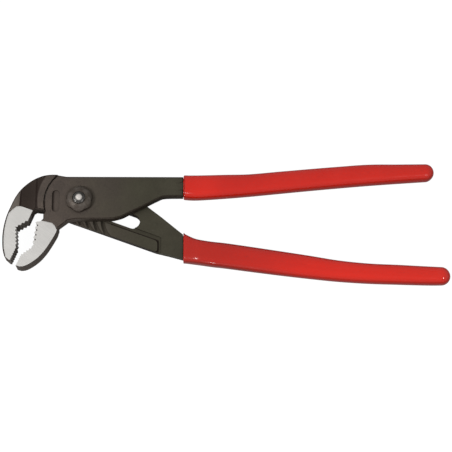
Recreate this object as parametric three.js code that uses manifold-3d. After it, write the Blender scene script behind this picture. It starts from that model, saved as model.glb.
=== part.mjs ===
// Water pump pliers with a slotted groove joint.
//
// Millimetres, +Z up. The pivot axis is the Z axis and z = 0 is the outer face of the bolt's head, at the
// back of the tool. +X runs along the handles, +Y points to the upper handle's side. The tool is drawn with
// its joint in the first seat and the jaws almost closed.
import * as THREE from 'three';
import { mergeVertices } from 'three/addons/utils/BufferGeometryUtils.js';
import Module from 'manifold-3d';

const wasm = await Module();
wasm.setup();

// Sizes shared by both levers
const plateThick = 6;
const runGap = 0.3;
const edgeBevel = 0.9;
const groundStep = 0.5;
const groundRim = 0.8;
const neckLength = 69;
const jawReach = 60;
const overrun = 5;
const overlap = 1;
const datumX = 0.5;
const datumY = 0.45;

// Bolt and nut
const headHeight = 4;
const headAcrossFlats = 16;
const headChamfer = 0.8;
const journalRadius = 4.4;
const guideLength = 10.4;
const threadRadius = 4;
const nutHeight = 4.5;
const nutAcrossFlats = 17;
const nutRoundRadius = 9.2;
const nutSkirt = 1.1;
const nutCrownRadius = 4.7;
const nutBulge = 0.9;
const peenRise = 0.8;
const peenRadius = 3.3;
const nutTurn = THREE.MathUtils.degToRad(-4);

// Slot and seats of the rear lever
const slotAngle = THREE.MathUtils.degToRad(20.5);
const slotWidth = 2 * (journalRadius + runGap);
const seatCount = 7;
const seatPitch = 6;
const slotPlay = 2.2;
const stripLower = 14.85;
const stripSlope = THREE.MathUtils.degToRad(20.1);
const stripBend = 51.5;
const openAngle = THREE.MathUtils.degToRad(50);
const closeAngle = THREE.MathUtils.degToRad(4.4);
const sweepMargin = THREE.MathUtils.degToRad(16);
const tongueRadius = 18.2;
const tongueWidth = 2.4;
const tongueHeight = 1.8;
const tongueStart = THREE.MathUtils.degToRad(186);
const tongueEnd = THREE.MathUtils.degToRad(221);
const grooveExit = THREE.MathUtils.degToRad(250);
const trackDepth = 1.2;
const trackWidth = 2.6;
const padGap = 0.9;
const padCorner = 2.2;

// Front lever's cover plate
const plateRise = 15;
const shoulderRadius = 25.2;
const shoulderX = 1.4;
const shoulderY = -1.45;
const shoulderStart = THREE.MathUtils.degToRad(131);
const shoulderEnd = THREE.MathUtils.degToRad(199);
const recessX = -15.9;
const recessY = -0.95;
const recessWidth = 5.2;
const recessLength = 15.4;
const recessDepth = 1.3;

// Rear jaw's cross hollow
const hollowX = -34.3;
const hollowRadius = 19;
const hollowDepth = 1;

// Teeth
const coarsePitch = 3.2;
const coarseDepth = 1.1;
const mediumPitch = 2.45;
const mediumDepth = 1;
const finePitch = 1.7;
const fineDepth = 0.5;

// Handles and their dipped grips
const frontGripLength = 170;
const rearGripLength = 178;
const frontNeckY = 9.3;
const rearNeckY = -32.4;
const frontHandleRise = 11.2;
const rearHandleDrop = 19.8;
const gripHalfWidth = 8.3;
const gripHalfThick = 5.9;
const gripCoat = 1.7;
const gripEndWall = 4;
const gripLip = 0.9;
const coreHalfThick = gripHalfThick - gripCoat;
const sectionPower = 2.7;

// Fineness of the facets
const curveSteps = 3;
const bevelSteps = 2;
const roundSteps = 40;
const ringSides = 20;
const endRings = 4;

// Levels, upwards from the bolt head's outer face
const rearBottom = headHeight + runGap;
const rearTop = rearBottom + plateThick;
const frontBottom = rearTop + runGap;
const frontTop = frontBottom + plateThick;
const lapLevel = rearTop + runGap / 2;
const nutBottom = frontTop + runGap;
const seatTravel = (seatCount - 1) * seatPitch;
const guideReach = guideLength / 2 - journalRadius;
const farOut = neckLength + jawReach;

// Outlines as shares of jawReach, from the datum
const rearJawBackShares = [
  [-0.258, 0.292], [-0.314, 0.294], [-0.376, 0.289], [-0.442, 0.274], [-0.522, 0.238], [-0.599, 0.185],
  [-0.676, 0.108], [-0.734, 0.016], [-0.775, -0.079], [-0.812, -0.174], [-0.839, -0.281], [-0.853, -0.388],
  [-0.854, -0.487], [-0.845, -0.584], [-0.825, -0.661],
];
const rearJawTipShares = [[-0.772, -0.707], [-0.723, -0.707]];
const rearJawInsideShares = [[-0.655, -0.57], [-0.64, -0.36], [-0.5, -0.17], [-0.45, -0.13], [-0.2, -0.13]];
const rearMouthShares = [
  [-0.766, -0.715], [-0.699, -0.553], [-0.705, -0.533], [-0.718, -0.322], [-0.568, -0.231], [-0.525, -0.124],
];
const rearMouthClearShares = [[-0.498, -0.104], [-0.38, -0.116], [-0.38, -0.78], [-0.766, -0.78]];
const rearGroundShares = [
  [-0.9, -0.16], [-0.787, -0.155], [-0.76, -0.123], [-0.712, -0.083], [-0.66, -0.083], [-0.5, -0.142],
  [-0.45, -0.165], [-0.45, -0.8], [-0.9, -0.8],
];
const rearRimCentreShares = [[-0.56, -0.42]];
const rearRimCloseShares = [[-0.8, -0.72], [-0.72, -0.8], [-0.3, -0.8], [-0.2, 0.2]];
const frontJawRootShares = [
  [-0.15, -0.235], [-0.12, -0.12], [-0.36, -0.1], [-0.408, -0.17], [-0.408, -0.226],
];
const frontJawInsideShares = [
  [-0.438, -0.257], [-0.48, -0.262], [-0.53, -0.288], [-0.555, -0.54], [-0.67, -0.62], [-0.72, -0.743],
];
const frontJawTipShares = [[-0.692, -0.772]];
const frontJawBackShares = [
  [-0.65, -0.785], [-0.595, -0.778], [-0.526, -0.742], [-0.444, -0.677], [-0.369, -0.587], [-0.298, -0.468],
  [-0.257, -0.389], [-0.246, -0.348], [-0.222, -0.307], [-0.167, -0.25],
];
const frontMouthShares = [[-0.488, -0.277], [-0.522, -0.553], [-0.638, -0.64], [-0.705, -0.79]];
const frontMouthClearShares = [[-0.79, -0.79], [-0.79, -0.56], [-0.6, -0.2], [-0.51, -0.2]];
const frontGroundShares = [
  [-0.8, -0.255], [-0.485, -0.255], [-0.432, -0.25], [-0.307, -0.278], [-0.273, -0.313], [-0.248, -0.367],
  [-0.17, -0.43], [-0.33, -0.87], [-0.8, -0.87],
];

// Outlines as shares of neckLength along X and plateRise along Y, from the datum
const plateCornerShares = [[1, 1.055]];
const plateLowerShares = [
  [-0.04, -0.945], [0.286, -0.93], [0.35, -0.89], [0.41, -0.81], [0.47, -0.665], [0.56, -0.455],
  [0.649, -0.245], [0.753, 0.005], [0.822, 0.12], [1, 0.135],
];
const stripNeckShares = [[0.87, -2.49], [1, -2.655], [1, -1.535], [0.906, -1.175], [0.794, -0.745]];
const stripUpperShares = [[0.649, -0.22]];

// Outlines round the pivot as shares of shoulderRadius along X and plateRise along Y, from the datum
const plateShoulderShares = [[-0.383, 1.07], [-0.534, 1.115]];
const plateRootShares = [
  [-0.953, -0.86], [-0.767, -1.2], [-0.555, -1.325], [-0.399, -1.12], [-0.315, -1.01],
];
const stripEndShares = [[-0.274, 0.72], [-0.509, 0.9], [-0.794, 0.92], [-1.032, 0.6]];

// Stations of the grips: shares of the grip's length, of its rise and of gripHalfWidth
const frontGripShares = [
  [0, 0, 0.97], [0.053, 0.023, 1.01], [0.165, 0.123, 0.975], [0.26, 0.202, 0.912], [0.379, 0.377, 0.9],
  [0.498, 0.55, 0.887], [0.618, 0.714, 0.875], [0.737, 0.859, 0.856], [0.856, 0.932, 0.77],
  [0.964, 0.995, 0.7],
];
const rearGripShares = [
  [0, -0.03, 1.225], [0.011, 0.01, 1.156], [0.039, 0.1, 1.044], [0.066, 0.163, 1], [0.11, 0.234, 1],
  [0.158, 0.287, 1.012], [0.247, 0.401, 1.012], [0.359, 0.546, 0.981], [0.47, 0.685, 0.931],
  [0.581, 0.822, 0.85], [0.693, 0.909, 0.8], [0.803, 0.949, 0.781], [0.915, 0.99, 0.744],
  [0.965, 1, 0.715],
];

// How far each grip's mid level has moved from its own plate's middle to the lap level, by station
const frontLevelShares = [0.3, 0.75, 1];
const rearLevelShares = [0, 0.12, 0.4, 0.7, 0.92, 1];
const frontMouthThickShares = [1.02, 1];
const rearMouthThickShares = [0.78, 0.8, 0.86, 0.93, 0.98, 1];

// Steel of the necks inside the plates, before the grips begin
const frontNeckRoot = 17;
const frontRootDrop = 3;
const rearNeckRoot = 12;
const rearRootRise = 3.75;
const neckRootShares = [0.45, 0.4];

// Points of a table of shares, scaled along X and Y and set out from the forgings' datum
function points(shares, alongX, alongY = alongX) {
  return shares.map(([x, y]) => new THREE.Vector2(datumX + x * alongX, datumY + y * alongY));
}

function polar(radius, angle) {
  return new THREE.Vector2(radius * Math.cos(angle), radius * Math.sin(angle));
}

function lineThrough(shape, list) {
  list.forEach((point) => shape.lineTo(point.x, point.y));
}

// A place in the slot, measured along its axis from the first seat
function slotPoint(distance) {
  return polar(distance, -slotAngle);
}

// The straight lower edge of the rear lever's strip
function stripEdge(x) {
  return new THREE.Vector2(x, -(stripLower / Math.cos(stripSlope) + x * Math.tan(stripSlope)));
}

// Closed geometry to solid and back, with vertices shared between faces
function solidFrom(geometry) {
  geometry.deleteAttribute('normal');
  geometry.deleteAttribute('uv');
  const merged = mergeVertices(geometry);
  return new wasm.Manifold(new wasm.Mesh({
    numProp: 3,
    vertProperties: merged.attributes.position.array,
    triVerts: Uint32Array.from(merged.index.array),
  }));
}

function geometryFrom(solid) {
  const mesh = solid.getMesh();
  const geometry = new THREE.BufferGeometry();
  geometry.setAttribute('position', new THREE.BufferAttribute(Float32Array.from(mesh.vertProperties), 3));
  geometry.setIndex(new THREE.BufferAttribute(Uint32Array.from(mesh.triVerts), 1));
  geometry.computeVertexNormals();
  return geometry;
}

// A plan outline raised between two levels, with sharp edges
function prism(shape, low, high) {
  const geometry = new THREE.ExtrudeGeometry(shape, {
    depth: high - low,
    bevelEnabled: false,
    curveSegments: curveSteps,
  });
  geometry.translate(0, 0, low);
  return solidFrom(geometry);
}

// A plan outline raised between two levels, with its edges rounded
function forgedPlate(shape, low, high) {
  const geometry = new THREE.ExtrudeGeometry(shape, {
    depth: high - low - 2 * edgeBevel,
    bevelThickness: edgeBevel,
    bevelSize: edgeBevel,
    bevelOffset: -edgeBevel,
    bevelSegments: bevelSteps,
    curveSegments: curveSteps,
  });
  geometry.translate(0, 0, low + edgeBevel);
  return solidFrom(geometry);
}

function disc(x, y, radius, low, high) {
  const geometry = new THREE.CylinderGeometry(radius, radius, high - low, roundSteps);
  geometry.rotateX(Math.PI / 2);
  geometry.translate(x, y, (low + high) / 2);
  return solidFrom(geometry);
}

function turned(profile) {
  const geometry = new THREE.LatheGeometry(profile, roundSteps);
  geometry.rotateX(Math.PI / 2);
  return solidFrom(geometry);
}

function hexagon(acrossFlats, low, high) {
  const sides = 6;
  const radius = acrossFlats / 2 / Math.cos(Math.PI / sides);
  const geometry = new THREE.CylinderGeometry(radius, radius, high - low, sides);
  geometry.rotateX(Math.PI / 2);
  geometry.translate(0, 0, (low + high) / 2);
  return solidFrom(geometry);
}

// Two half circles joined by straight sides, along a line between two centres
function obround(start, end, width) {
  const along = Math.atan2(end.y - start.y, end.x - start.x);
  const quarter = Math.PI / 2;
  const steps = roundSteps / 4;
  const shape = new THREE.Shape();
  for (let step = 0; step <= steps; step += 1) {
    const place = end.clone().add(polar(width / 2, along - quarter + (step * Math.PI) / steps));
    if (step === 0) shape.moveTo(place.x, place.y);
    else shape.lineTo(place.x, place.y);
  }
  for (let step = 0; step <= steps; step += 1) {
    const place = start.clone().add(polar(width / 2, along + quarter + (step * Math.PI) / steps));
    shape.lineTo(place.x, place.y);
  }
  return shape;
}

// A band of a ring about a centre, between two angles
function ringBand(centre, radius, width, from, to) {
  const shape = new THREE.Shape();
  shape.absarc(centre.x, centre.y, radius + width / 2, from, to, false);
  shape.absarc(centre.x, centre.y, radius - width / 2, to, from, true);
  return shape;
}

// Saw teeth on a straight stretch of a jaw: crests on the line, valleys sunk to its right-hand side
function toothedRun(from, to, pitch, depth) {
  const run = to.clone().sub(from);
  const count = Math.max(1, Math.round(run.length() / pitch));
  const sink = new THREE.Vector2(run.y, -run.x).normalize().multiplyScalar(depth);
  const list = [from.clone()];
  for (let tooth = 0; tooth < count; tooth += 1) {
    list.push(from.clone().addScaledVector(run, (tooth + 1 / 2) / count).add(sink));
    list.push(from.clone().addScaledVector(run, (tooth + 1) / count));
  }
  return list;
}

// Rounded upright sections joined along a handle; each station is a centre, half width and half thickness
function loft(stations) {
  const last = stations.length - 1;
  const position = [];
  const index = [];
  const bulge = (value) => Math.sign(value) * Math.abs(value) ** (2 / sectionPower);
  stations.forEach((station) => {
    for (let side = 0; side < ringSides; side += 1) {
      const angle = (2 * Math.PI * side) / ringSides;
      const across = station.half * bulge(Math.cos(angle));
      const up = station.thick * bulge(Math.sin(angle));
      position.push(station.x, station.y + across, station.z + up);
    }
  });
  const first = position.length / 3;
  position.push(stations[0].x, stations[0].y, stations[0].z);
  position.push(stations[last].x, stations[last].y, stations[last].z);
  for (let side = 0; side < ringSides; side += 1) {
    const next = (side + 1) % ringSides;
    for (let row = 0; row < last; row += 1) {
      const near = row * ringSides;
      const far = near + ringSides;
      index.push(near + side, near + next, far + next);
      index.push(near + side, far + next, far + side);
    }
    index.push(first, next, side);
    index.push(first + 1, last * ringSides + side, last * ringSides + next);
  }
  const geometry = new THREE.BufferGeometry();
  geometry.setAttribute('position', new THREE.Float32BufferAttribute(position, 3));
  geometry.setIndex(index);
  return solidFrom(geometry);
}

// Closes a row of stations with rings that shrink like a half ellipse
function roundedEnd(stations, length) {
  const tail = stations[stations.length - 1];
  const before = stations[stations.length - 2];
  const heading = Math.atan2(tail.y - before.y, tail.x - before.x);
  const rings = [];
  for (let ring = 1; ring <= endRings; ring += 1) {
    const angle = (ring * Math.PI) / 2 / (endRings + 1 / 2);
    const along = polar(length * Math.sin(angle), heading);
    rings.push({
      x: tail.x + along.x,
      y: tail.y + along.y,
      z: tail.z,
      half: tail.half * Math.cos(angle),
      thick: tail.thick * Math.cos(angle),
    });
  }
  return [...stations, ...rings];
}

// Outer stations of a grip, from its mouth to where its end begins to round off
function gripStations(handle) {
  return handle.shares.map(([along, rise, half], row) => {
    const level = handle.levels[Math.min(row, handle.levels.length - 1)];
    const thick = handle.thicks[Math.min(row, handle.thicks.length - 1)];
    return {
      x: datumX + neckLength + runGap + along * handle.length,
      y: datumY + handle.neckY + rise * handle.rise,
      z: handle.plateLevel + level * (lapLevel - handle.plateLevel),
      half: half * gripHalfWidth,
      thick: thick * gripHalfThick,
    };
  });
}

// The steel inside a grip follows it at the coat's depth; a root runs back into the lever's plate
function coreStations(handle) {
  const outer = gripStations(handle);
  const inner = outer.map((station) => ({
    ...station,
    half: station.half - gripCoat,
    thick: station.thick - gripCoat,
  }));
  const [widthShare, thickShare] = neckRootShares;
  const root = {
    x: datumX + neckLength - handle.rootLength,
    y: datumY + handle.rootY,
    z: handle.plateLevel,
    half: widthShare * inner[0].half,
    thick: thickShare * plateThick,
  };
  return [root, ...inner];
}

function grown(stations, amount) {
  return stations.map((station) => ({
    ...station,
    half: station.half + amount,
    thick: station.thick + amount,
  }));
}

const frontHandle = {
  shares: frontGripShares,
  levels: frontLevelShares,
  thicks: frontMouthThickShares,
  length: frontGripLength,
  rise: frontHandleRise,
  neckY: frontNeckY,
  plateLevel: (frontBottom + frontTop) / 2,
  rootLength: frontNeckRoot,
  rootY: frontNeckY - frontRootDrop,
};

const rearHandle = {
  shares: rearGripShares,
  levels: rearLevelShares,
  thicks: rearMouthThickShares,
  length: rearGripLength,
  rise: -rearHandleDrop,
  neckY: rearNeckY,
  plateLevel: (rearBottom + rearTop) / 2,
  rootLength: rearNeckRoot,
  rootY: rearNeckY + rearRootRise,
};

// Rear lever: outer jaw, slotted strip and lower handle
function rearJawShape() {
  const [start, ...back] = points(rearJawBackShares, jawReach);
  const shape = new THREE.Shape();
  shape.moveTo(start.x, start.y);
  lineThrough(shape, back.slice(0, 1));
  shape.splineThru(back.slice(1));
  lineThrough(shape, points(rearJawTipShares, jawReach));
  lineThrough(shape, points(rearJawInsideShares, jawReach));
  return shape;
}

function stripShape() {
  const shape = new THREE.Shape();
  const throat = stripEdge(-shoulderRadius);
  shape.moveTo(throat.x, throat.y);
  lineThrough(shape, [stripEdge(stripBend)]);
  lineThrough(shape, points(stripNeckShares, neckLength, plateRise));
  lineThrough(shape, points(stripUpperShares, neckLength, plateRise));
  lineThrough(shape, points(stripEndShares, shoulderRadius, plateRise));
  return shape;
}

// Room for the front lever's plate in every seat and at every angle
function frontSweep() {
  const high = frontTop + overrun;
  const radius = shoulderRadius + runGap + runGap / 2;
  const round = disc(shoulderX, shoulderY, radius, rearTop, high);
  const open = new THREE.Shape();
  open.moveTo(shoulderX, -farOut);
  open.lineTo(farOut, -farOut);
  open.lineTo(farOut, farOut);
  open.lineTo(shoulderX, farOut);
  return round.add(prism(open, rearTop, high));
}

function rearMouth() {
  const [tip, bend, rise, corner, top, throat] = points(rearMouthShares, jawReach);
  const shape = new THREE.Shape();
  shape.moveTo(tip.x, tip.y);
  lineThrough(shape, toothedRun(bend, tip, finePitch, -fineDepth).reverse());
  lineThrough(shape, toothedRun(corner, rise, mediumPitch, -mediumDepth).reverse());
  lineThrough(shape, toothedRun(top, corner, mediumPitch, -mediumDepth).reverse());
  shape.lineTo(throat.x, throat.y);
  lineThrough(shape, points(rearMouthClearShares, jawReach));
  return prism(shape, -overrun, frontTop + overrun);
}

// Everything above and below the two ground flats of a jaw
function groundFlats(shares) {
  const shape = new THREE.Shape(points(shares, jawReach));
  const upper = prism(shape, frontTop - groundStep, frontTop + overrun);
  const lower = prism(shape, -overrun, rearBottom + groundStep);
  return upper.add(lower);
}

// The rear jaw inside the narrow forged rim that its flats leave along the back
function insideRim() {
  const [centre] = points(rearRimCentreShares, jawReach);
  const [start, ...back] = points(rearJawBackShares, jawReach).map((place) => {
    const inward = centre.clone().sub(place).setLength(groundRim);
    return place.clone().add(inward);
  });
  const shape = new THREE.Shape();
  shape.moveTo(start.x, start.y);
  shape.splineThru(back);
  lineThrough(shape, points(rearRimCloseShares, jawReach));
  return prism(shape, -overrun, frontTop + overrun);
}

// A shallow hollow across the jaw's root, on both faces
function crossHollows() {
  const length = 2 * jawReach;
  const upper = new THREE.CylinderGeometry(hollowRadius, hollowRadius, length, 2 * roundSteps);
  const lower = upper.clone();
  upper.translate(hollowX, 0, frontTop + hollowRadius - hollowDepth);
  lower.translate(hollowX, 0, rearBottom - hollowRadius + hollowDepth);
  const flats = new THREE.Shape(points(rearGroundShares, jawReach));
  return solidFrom(upper).add(solidFrom(lower)).subtract(prism(flats, -overrun, frontTop + overrun));
}

function slot() {
  const shape = obround(slotPoint(-guideReach), slotPoint(seatTravel + slotPlay), slotWidth);
  return prism(shape, -overrun, frontTop + overrun);
}

// Arc grooves, one about each seat, that run out through the strip's lower edge
function seatGrooves() {
  const width = tongueWidth + 2 * runGap;
  const start = tongueStart - closeAngle - runGap / tongueRadius;
  const low = rearTop - tongueHeight;
  const bands = [];
  for (let seat = 0; seat < seatCount; seat += 1) {
    const shape = ringBand(slotPoint(seat * seatPitch), tongueRadius, width, start, grooveExit);
    const geometry = new THREE.ExtrudeGeometry(shape, {
      depth: tongueHeight + overrun,
      bevelEnabled: false,
      curveSegments: roundSteps / 4,
    });
    geometry.translate(0, 0, low);
    bands.push(solidFrom(geometry));
  }
  return bands.reduce((all, band) => all.add(band));
}

// The lowered track beside the slot and round the end of the raised pad
function padTrack() {
  const slotSide = slotWidth / 2;
  const last = slotPoint(seatTravel);
  const across = polar(1, -slotAngle - Math.PI / 2);
  const along = polar(1, -slotAngle);
  const start = last.clone().addScaledVector(along, -tongueRadius);
  const upperStart = start.clone().addScaledVector(across, slotSide + trackWidth);
  const padEnd = stripBend + padGap;
  const lowerEnd = stripEdge(padEnd);
  const upperEnd = lowerEnd.clone();
  upperEnd.y = upperStart.y - (padEnd - upperStart.x) * Math.tan(stripSlope);
  const pad = new THREE.Shape();
  pad.moveTo(upperStart.x, upperStart.y);
  pad.lineTo(upperEnd.x - padCorner, upperEnd.y + padCorner * Math.tan(stripSlope));
  pad.quadraticCurveTo(upperEnd.x, upperEnd.y, upperEnd.x, upperEnd.y - padCorner);
  pad.lineTo(lowerEnd.x, lowerEnd.y + padCorner);
  pad.quadraticCurveTo(lowerEnd.x, lowerEnd.y, lowerEnd.x - padCorner, stripEdge(lowerEnd.x - padCorner).y);
  pad.lineTo(stripEdge(start.x).x, stripEdge(start.x).y - overrun);
  const trackStart = start.clone().addScaledVector(across, slotSide - overlap);
  const track = new THREE.Shape();
  track.moveTo(trackStart.x, trackStart.y);
  track.lineTo(upperEnd.x, trackStart.y - (upperEnd.x - trackStart.x) * Math.tan(slotAngle));
  track.lineTo(upperEnd.x + trackWidth, upperEnd.y + trackWidth);
  track.lineTo(lowerEnd.x + trackWidth, lowerEnd.y - overrun);
  track.lineTo(stripEdge(start.x).x, stripEdge(start.x).y - overrun);
  const low = rearTop - trackDepth;
  return prism(track, low, rearTop + overrun).subtract(prism(pad, low - overrun, rearTop + 2 * overrun));
}

function rearLever() {
  const jaw = forgedPlate(rearJawShape(), rearBottom, frontTop);
  const strip = forgedPlate(stripShape(), rearBottom, frontTop);
  return jaw
    .add(strip)
    .subtract(frontSweep())
    .subtract(rearMouth())
    .subtract(groundFlats(rearGroundShares).intersect(insideRim()))
    .subtract(crossHollows())
    .subtract(slot())
    .subtract(seatGrooves())
    .subtract(padTrack())
    .add(loft(roundedEnd(shortened(coreStations(rearHandle)), coreHalfThick)));
}

// The steel ends inside the closed end of the coat
function shortened(stations) {
  const cut = stations.slice(0, -1);
  const tail = stations[stations.length - 1];
  const before = stations[stations.length - 2];
  const keep = 1 - Math.min(gripEndWall / (tail.x - before.x), 1 / 2);
  const mix = (name) => before[name] + (tail[name] - before[name]) * keep;
  return [...cut, { x: mix('x'), y: mix('y'), z: mix('z'), half: mix('half'), thick: mix('thick') }];
}

// Front lever: inner jaw, cover plate with its tongue, and upper handle
function plateShape() {
  const shape = new THREE.Shape();
  const [corner] = points(plateCornerShares, neckLength, plateRise);
  shape.moveTo(corner.x, corner.y);
  lineThrough(shape, points(plateShoulderShares, shoulderRadius, plateRise));
  shape.absarc(shoulderX, shoulderY, shoulderRadius, shoulderStart, shoulderEnd, false);
  lineThrough(shape, points(plateRootShares, shoulderRadius, plateRise));
  const lower = points(plateLowerShares, neckLength, plateRise);
  shape.lineTo(lower[0].x, lower[0].y);
  shape.splineThru(lower.slice(1));
  return shape;
}

function frontJawShape() {
  const [start, ...root] = points(frontJawRootShares, jawReach);
  const back = points(frontJawBackShares, jawReach);
  const shape = new THREE.Shape();
  shape.moveTo(start.x, start.y);
  lineThrough(shape, root);
  lineThrough(shape, points(frontJawInsideShares, jawReach));
  lineThrough(shape, points(frontJawTipShares, jawReach));
  shape.lineTo(back[0].x, back[0].y);
  shape.splineThru(back.slice(1));
  return shape;
}

// Room for the rear lever's strip below the plate. In the front lever's own frame the strip's lower edge
// turns from one line to the other as the tool opens, so the jaw's root stays outside both.
function rearSweep() {
  const edgeNormal = (3 * Math.PI) / 2 - stripSlope;
  const opened = edgeNormal - openAngle - sweepMargin;
  const closed = edgeNormal + closeAngle;
  const distance = (stripLower + runGap + runGap / 2) / Math.cos((closed - opened) / 2);
  const corner = polar(distance, (closed + opened) / 2);
  const lower = corner.clone().add(polar(farOut, opened + Math.PI / 2));
  const upper = corner.clone().add(polar(farOut, closed - Math.PI / 2));
  const shape = new THREE.Shape();
  shape.moveTo(corner.x, corner.y);
  shape.lineTo(lower.x, lower.y);
  shape.lineTo(farOut, lower.y);
  shape.lineTo(farOut, farOut);
  shape.lineTo(upper.x, farOut);
  shape.lineTo(upper.x, upper.y);
  return prism(shape, -overrun, frontBottom);
}

function frontMouth() {
  const [throat, corner, bend, tip] = points(frontMouthShares, jawReach);
  const shape = new THREE.Shape();
  shape.moveTo(throat.x, throat.y);
  lineThrough(shape, toothedRun(throat, corner, coarsePitch, -coarseDepth));
  lineThrough(shape, toothedRun(corner, bend, mediumPitch, -mediumDepth));
  lineThrough(shape, toothedRun(bend, tip, finePitch, -fineDepth));
  lineThrough(shape, points(frontMouthClearShares, jawReach));
  return prism(shape, -overrun, frontTop + overrun);
}

function tongue() {
  const shape = ringBand(new THREE.Vector2(), tongueRadius, tongueWidth, tongueStart, tongueEnd);
  const geometry = new THREE.ExtrudeGeometry(shape, {
    depth: tongueHeight,
    bevelEnabled: false,
    curveSegments: roundSteps / 4,
  });
  geometry.translate(0, 0, frontBottom - tongueHeight + runGap);
  return solidFrom(geometry);
}

function plateRecess() {
  const reach = (recessLength - recessWidth) / 2;
  const low = new THREE.Vector2(recessX, recessY - reach);
  const high = new THREE.Vector2(recessX, recessY + reach);
  return prism(obround(low, high, recessWidth), frontTop - recessDepth, frontTop + overrun);
}

function frontLever() {
  const plate = forgedPlate(plateShape(), rearBottom, frontTop);
  const jaw = forgedPlate(frontJawShape(), rearBottom, frontTop);
  const bore = disc(0, 0, journalRadius + runGap, -overrun, frontTop + overrun);
  return plate
    .add(jaw)
    .subtract(rearSweep())
    .subtract(frontMouth())
    .subtract(groundFlats(frontGroundShares))
    .subtract(plateRecess())
    .add(tongue())
    .subtract(bore)
    .add(loft(roundedEnd(shortened(coreStations(frontHandle)), coreHalfThick)));
}

// A dipped grip: a closed cup round the handle, with a small lip rolled at its mouth
function gripSleeve(handle) {
  const stations = gripStations(handle);
  const mouth = stations[0];
  const lip = { ...mouth, half: mouth.half - gripLip / 2, thick: mouth.thick - gripLip / 2 };
  const second = { ...mouth, x: mouth.x + gripLip };
  const outer = loft(roundedEnd([lip, second, ...stations.slice(1)], stations[stations.length - 1].half));
  const core = shortened(coreStations(handle));
  const cavity = loft(roundedEnd(grown(core, runGap), coreHalfThick + runGap));
  return outer.subtract(cavity);
}

// Bolt: low hexagon head, flat-sided guide in the slot, round journal and peened end
function pivotBolt() {
  const round = headAcrossFlats / 2 / Math.cos(Math.PI / 6);
  const head = hexagon(headAcrossFlats, 0, headHeight).intersect(turned([
    new THREE.Vector2(0, 0),
    new THREE.Vector2(headAcrossFlats / 2 - headChamfer / 2, 0),
    new THREE.Vector2(round, headChamfer),
    new THREE.Vector2(round, headHeight),
    new THREE.Vector2(0, headHeight),
  ]));
  const guideEnds = [new THREE.Vector2(-guideReach, 0), new THREE.Vector2(guideReach, 0)];
  const guideShape = obround(...guideEnds, 2 * journalRadius);
  const guide = prism(guideShape, headHeight / 2, rearTop);
  const end = nutBottom + nutHeight;
  const shank = turned([
    new THREE.Vector2(0, headHeight / 2),
    new THREE.Vector2(journalRadius, headHeight / 2),
    new THREE.Vector2(journalRadius, nutBottom - runGap),
    new THREE.Vector2(threadRadius, nutBottom - runGap),
    new THREE.Vector2(threadRadius, end),
    new THREE.Vector2(peenRadius, end + peenRise / 2),
    new THREE.Vector2(peenRadius * Math.SQRT1_2, end + peenRise),
    new THREE.Vector2(0, end + peenRise),
  ]);
  return head.add(guide).add(shank);
}

// Nut: hexagon under a domed crown that takes its corners off
function pivotNut() {
  const foot = new THREE.Vector2(nutRoundRadius, nutSkirt);
  const rim = new THREE.Vector2(nutCrownRadius, nutHeight);
  const swell = foot.clone().add(rim).divideScalar(2).addScalar(nutBulge);
  const dome = new THREE.QuadraticBezierCurve(foot, swell, rim);
  const body = hexagon(nutAcrossFlats, 0, nutHeight).intersect(turned([
    new THREE.Vector2(0, 0),
    new THREE.Vector2(nutRoundRadius, 0),
    ...dome.getPoints(roundSteps / 8),
    new THREE.Vector2(0, nutHeight),
  ]));
  return body.subtract(disc(0, 0, threadRadius + runGap, -overrun, nutHeight + overrun));
}

// Materials
function forgedSteel() {
  return new THREE.MeshStandardMaterial({ color: 0x4e4640, roughness: 0.42, metalness: 0.85 });
}

function brightSteel() {
  return new THREE.MeshStandardMaterial({ color: 0xd0cdca, roughness: 0.3, metalness: 1 });
}

function dippedVinyl() {
  return new THREE.MeshStandardMaterial({ color: 0xcc2d26, roughness: 0.32, metalness: 0 });
}

function piece(name, solid, material) {
  const mesh = new THREE.Mesh(geometryFrom(solid), material);
  mesh.name = name;
  return mesh;
}

// Assembly
const pliers = new THREE.Group();
pliers.add(piece('rear_lever_forging', rearLever(), forgedSteel()));
pliers.add(piece('rear_grip_sleeve', gripSleeve(rearHandle), dippedVinyl()));
pliers.add(piece('front_lever_forging', frontLever(), forgedSteel()));
pliers.add(piece('front_grip_sleeve', gripSleeve(frontHandle), dippedVinyl()));

const bolt = piece('pivot_bolt', pivotBolt(), brightSteel());
bolt.rotation.z = -slotAngle;
pliers.add(bolt);

const nut = piece('pivot_nut', pivotNut(), forgedSteel());
nut.position.z = nutBottom;
nut.rotation.z = nutTurn;
pliers.add(nut);

export default pliers;
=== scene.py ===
# Looks for a pair of water pump pliers: forged levers, a bolt with its nut, and two dipped grips.
#
# Metres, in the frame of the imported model: +X along the handles, +Y towards the upper handle, +Z along the
# pivot axis towards the nut. The pivot axis is the Z axis and z = 0 is the outer face of the bolt's head.
import math
from functools import cached_property

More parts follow.
